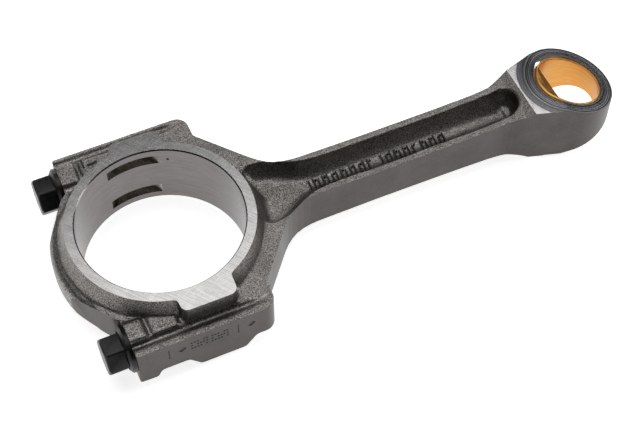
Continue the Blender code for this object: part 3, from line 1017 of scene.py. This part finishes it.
# %% Raised marks on the cap
pip = rod_stock("pip", 1.05, PLATFORM_TOP - 1.5, PLATFORM_TOP + 0.35, -13.4, -34.3, vertices=32)
far_bar = block("far_bar", (-15.8, 34.4, PLATFORM_TOP - 1.5), (-15.1, 37.8, PLATFORM_TOP + 0.4))
far_foot = block("far_foot", (-14.0, 34.6, PLATFORM_TOP - 1.5), (-10.6, 35.3, PLATFORM_TOP + 0.4))
marks = [dress(pip, forged_skin), dress(far_bar, stamp_black), dress(far_foot, stamp_black)]
marks = gather(marks, "cap_marks")
cap = combine(cap, marks, "UNION")
settle(cap, "bearing_cap_skin", "cap", "bearing_cap")

# %% [markdown]
# ## The bush
# The bush is rolled from strip and pressed in, so it has a seam. The seam slants, so that the pin
# never meets it all at once. The bush is bored after pressing, and its ends follow the eye's slopes.

# %% Bush sleeve
BUSH_BORE_R = 11.0
BUSH_END_HALF = EYE_HALF - 0.2   # its ends stay just under the spot face
bush = rod_stock("bush", BUSH_R, -BUSH_END_HALF - 1.0, BUSH_END_HALF + 1.0, PIN_X, vertices=192)
bush_heights = [(x, half - 0.06) for x, half in eye_heights[2:]]
bush_heights[0] = (EYE_FACE_X - 4.0, BUSH_END_HALF)
bush_heights[1] = (TAPER_X, BUSH_END_HALF)
bush = combine(bush, side_view("bush_ends", bush_heights), "INTERSECT")
bush_bore = rod_stock("bush_bore", BUSH_BORE_R, -EYE_HALF - OVER, EYE_HALF + OVER, PIN_X, vertices=192)
bush = combine(bush, bush_bore, "DIFFERENCE")
print("bush sleeve:", len(bush.data.polygons), "faces")

# %% Seam and chamfers
pick(bush, lambda middle, normal: abs(normal.z) > 0.5)
bpy.ops.mesh.select_mode(type="EDGE")
bpy.ops.mesh.region_to_loop()
bpy.ops.mesh.bevel(offset=0.42, segments=2, profile=0.6)
done(bush)
SEAM_TURN = 142.0                # the seam's place round the bore, halfway down it
SEAM_TWIST = -82.0               # and how far it winds round the bore over its whole length
SEAM_GAP = 0.16
bpy.ops.mesh.primitive_grid_add(x_subdivisions=2, y_subdivisions=64, size=1.0)
seam = bpy.context.object
seam.name = "seam"
seam.scale = (3.0, 2.0 * (EYE_HALF + 2.0), 1.0)
seam.rotation_euler = (math.radians(90.0), 0.0, 0.0)
seam.location = (BUSH_BORE_R + 0.5, 0.0, 0.0)
freeze()
winding = seam.modifiers.new("winding", "SIMPLE_DEFORM")
winding.deform_method = "TWIST"
winding.deform_axis = "Z"
winding.angle = math.radians(SEAM_TWIST)
apply(winding)
sheet = seam.modifiers.new("sheet", "SOLIDIFY")
sheet.thickness = SEAM_GAP
sheet.offset = 0.0
apply(sheet)
seam.rotation_euler = (0.0, 0.0, math.radians(SEAM_TURN))
seam.location = (PIN_X, 0.0, 0.0)
freeze()
bush = combine(dress(bush, bush_bronze), dress(seam, bush_bronze), "DIFFERENCE")
settle(bush, "small_end_bush_sleeve", "rod", "small_end_bush", sharp=12.0)

# %% [markdown]
# ## The bolts
# The bolt is turned and rolled: a hexagon on a flange, a plain shank, and a real thread that shows
# when the cap comes off. The thread is a helix cut out of the shank by a screwed triangle, right
# hand, with one turn per millimetre.

# %% Bolt head
HEX_CORNER_R = 12.0 / math.sqrt(3.0)
FLANGE_THICK = 2.3
HEAD_LENGTH = SEAT_X - HEAD_END_X
head = rod_stock("hexagon", HEX_CORNER_R, -HEAD_LENGTH, -FLANGE_THICK + 0.4, vertices=6)
pick(head, lambda middle, normal: abs(normal.z) < 0.5)
bpy.ops.mesh.select_mode(type="EDGE")
bpy.ops.object.mode_set(mode="OBJECT")
for edge in head.data.edges:
    ends = [head.data.vertices[index].co for index in edge.vertices]
    edge.select = abs(ends[0].z - ends[1].z) > 1.0
bpy.ops.object.mode_set(mode="EDIT")
bpy.ops.mesh.bevel(offset=0.5, segments=3, profile=0.5)
done(head)
crown = rod_stock("crown", HEX_CORNER_R + 0.2, -HEAD_LENGTH + 1.0, 0.0, vertices=96)
pick(crown, lambda middle, normal: normal.z < -0.9)
pull((0.0, 0.0, -1.0))
bpy.ops.transform.resize(value=(0.84, 0.84, 1.0))
bpy.ops.mesh.bevel(offset=0.25, segments=3, profile=0.5)
head = combine(head, done(crown), "INTERSECT")
print("hexagon with chamfered corners:", len(head.data.polygons), "faces")

# %% Flange and shank
flange = rod_stock("flange", FLANGE_R, -FLANGE_THICK + 0.7, -0.02, vertices=128)
pick(flange, lambda middle, normal: normal.z < -0.9)
bpy.ops.mesh.bevel(offset=0.25, segments=2, profile=0.5)
pull((0.0, 0.0, -0.7))
bpy.ops.transform.resize(value=(0.87, 0.87, 1.0))
done(flange)
SHANK_R = 3.95
THREAD_START = 17.0              # from the seat
BOLT_LENGTH = TIP_X - SEAT_X
shank = rod_stock("shank", SHANK_R, -1.0, BOLT_LENGTH - 1.2, vertices=96)
pick(shank, lambda middle, normal: normal.z > 0.9)
pull((0.0, 0.0, 1.2))
bpy.ops.transform.resize(value=(0.72, 0.72, 1.0))
done(shank)
bolt = combine(combine(flange, shank, "UNION"), head, "UNION")
print("bolt blank:", len(bolt.data.polygons), "faces")

# %% Rolled thread
PITCH = 1.0
TURNS = math.ceil((BOLT_LENGTH - THREAD_START) / PITCH) + 2
bpy.ops.mesh.primitive_circle_add(vertices=3, radius=0.5, fill_type="NOTHING")
groove = bpy.context.object
groove.name = "thread_groove"
bpy.ops.object.mode_set(mode="EDIT")
bpy.ops.mesh.select_all(action="SELECT")
bpy.ops.transform.rotate(value=math.radians(90.0), orient_axis="X", center_override=(0.0, 0.0, 0.0))
bpy.ops.object.mode_set(mode="OBJECT")
for vertex, (reach, up) in zip(groove.data.vertices, ((-0.62, 0.0), (0.3, 0.47), (0.3, -0.47))):
    vertex.co = (SHANK_R + reach, 0.0, THREAD_START + up)
turns = groove.modifiers.new("helix", "SCREW")
turns.axis = "Z"
turns.angle = math.radians(360.0 * TURNS)
turns.screw_offset = PITCH * TURNS
turns.steps = 32 * TURNS
turns.render_steps = 32 * TURNS
turns.use_merge_vertices = False
only(groove)
apply(turns)
bpy.ops.object.mode_set(mode="EDIT")
bpy.ops.mesh.select_all(action="SELECT")
bpy.ops.mesh.fill_holes(sides=0)
groove = done(groove)
bolt = combine(bolt, groove, "DIFFERENCE")
print("threaded over", round(BOLT_LENGTH - THREAD_START, 1), "mm:", len(bolt.data.polygons), "faces")

# %% Two bolts
only(dress(bolt, black_oxide))
bolt.rotation_euler = (0.0, math.radians(90.0), 0.0)
freeze()
for name, side in (("cap_bolt_right", -1.0), ("cap_bolt_left", 1.0)):
    only(bolt)
    bpy.ops.object.duplicate(linked=False)
    copy = bpy.context.object
    copy.location = (SEAT_X, side * BOLT_Y, 0.0)
    freeze()
    settle(copy, name + "_steel", name.replace("cap_", ""), name)
bpy.data.objects.remove(bolt, do_unlink=True)

# %% [markdown]
# ## Stage, light and camera
# A polished part shows what is around it, so the light is the last finish. A wide, soft panel
# overhead gives the milled faces their brightness. The room stays dim, a little lighter behind the
# rod than in front of it, so that faces turned away from the panels go dark.

# %% Floor
bpy.ops.mesh.primitive_plane_add(size=6.0, location=(0.0, 0.0, -0.0004))
floor = bpy.context.object
floor.name = "floor"
floor_paint, tree, shader = steel("floor_paint", metallic=0.0)
shader.inputs["Base Color"].default_value = (0.92, 0.92, 0.92, 1.0)
shader.inputs["Roughness"].default_value = 0.9
shader.inputs["Specular IOR Level"].default_value = 0.1
shader.inputs["Emission Color"].default_value = (1.0, 1.0, 1.0, 1.0)
shader.inputs["Emission Strength"].default_value = 0.8
dress(floor, floor_paint)
print("floor", floor.dimensions[:2])

# %% Lights
def panel(name, azimuth, elevation, distance, size, watts, target=(0.0, 0.0, 0.013)):
    """A soft light panel, seen from the rod at these angles. Azimuth 0 is behind, along +Y."""
    turn, rise = math.radians(azimuth), math.radians(elevation)
    away = Vector((math.sin(turn) * math.cos(rise), math.cos(turn) * math.cos(rise), math.sin(rise)))
    bpy.ops.object.light_add(type="AREA", location=Vector(target) + away * distance)
    light = bpy.context.object
    light.name = name
    light.data.shape = "RECTANGLE"
    light.data.size, light.data.size_y = size
    light.data.energy = watts
    light.rotation_euler = away.to_track_quat("Z", "Y").to_euler()
    print(f"{name}: {watts} W at azimuth {azimuth}, elevation {elevation}")


panel("overhead_panel", 0.0, 90.0, 1.2, (1.7, 1.0), 8.0, target=(0.1, 0.3, 0.013))
panel("back_panel", 20.0, 17.0, 1.3, (1.5, 0.45), 4.5)
panel("right_panel", 100.0, 24.0, 1.2, (0.5, 0.5), 3.0)

world = bpy.data.worlds.new("room")
bpy.context.scene.world = world
world.use_nodes = True
tree = world.node_tree
place = node(tree, "ShaderNodeTexCoord").outputs["Generated"]
behind_rod = node(tree, "ShaderNodeSeparateXYZ", Vector=place).outputs["Y"]
DIM_ROOM, BRIGHT_ROOM = 0.04, 0.13
glow = node(tree, "ShaderNodeMapRange", Value=behind_rod, From_Min=-0.35, From_Max=0.8,
            To_Min=DIM_ROOM, To_Max=BRIGHT_ROOM)
tree.links.new(glow.outputs["Result"], tree.nodes["Background"].inputs["Strength"])
tree.nodes["Background"].inputs["Color"].default_value = (1.0, 1.0, 1.0, 1.0)

# %% Camera
AZIMUTH, ELEVATION, ROLL = -24.6, 55.3, 0.54
DISTANCE = 0.513
FOCAL_LENGTH, FILM_WIDTH = 84.4, 36.0  # millimetres
AIM = CENTRE + Vector((0.0529, -0.0110, 0.0))
turn, rise = math.radians(AZIMUTH), math.radians(ELEVATION)
back = Vector((math.sin(turn) * math.cos(rise), -math.cos(turn) * math.cos(rise), math.sin(rise)))
bpy.ops.object.camera_add(location=AIM + back * DISTANCE)
camera = bpy.context.object
camera.name = "camera"
camera.rotation_mode = "QUATERNION"
rolled = Matrix.Rotation(math.radians(ROLL), 3, "Z").to_quaternion()
camera.rotation_quaternion = back.to_track_quat("Z", "Y") @ rolled
camera.data.lens = FOCAL_LENGTH
camera.data.sensor_width = FILM_WIDTH
camera.data.clip_start, camera.data.clip_end = 0.01, 20.0
bpy.context.scene.camera = camera
bpy.context.scene.view_settings.view_transform = "Standard"
print("camera", camera.location[:])
